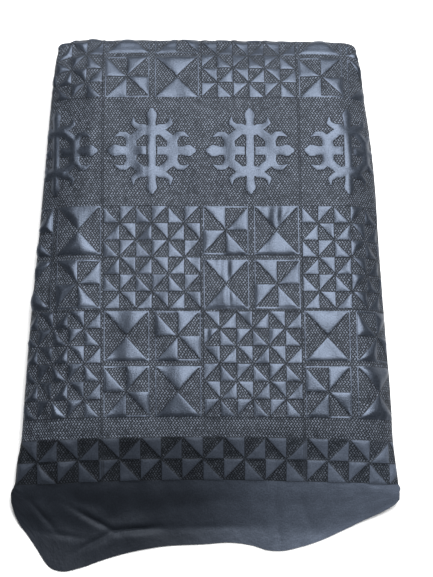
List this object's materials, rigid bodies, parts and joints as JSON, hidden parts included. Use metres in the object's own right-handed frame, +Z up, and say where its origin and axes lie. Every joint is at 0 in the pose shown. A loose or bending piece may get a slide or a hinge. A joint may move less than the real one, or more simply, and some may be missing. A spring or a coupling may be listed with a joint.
{
  "type": "folded embroidered cotton fabric",
  "caption": "Length of embroidered patchwork cotton fabric, folded in thirds and in half, lying flat with its plain hem spread in front.",
  "frame": {"origin": "centre of the folded cloth's underside, on the surface it lies on", "axes": "+Y from the near hem towards the far fold, along the cloth's warp; +X across the face towards its right fold; +Z up, out of the face"},
  "size_m": [0.4038, 0.5688, 0.0437],
  "materials": {
    "embroidered_cotton": "satin-stitched blue-grey cotton, glossy smooth patches against dull stitched ground"
  },
  "bodies": {
    "root": {"folded_cloth": "embroidered_cotton"}
  },
  "joints": []
}
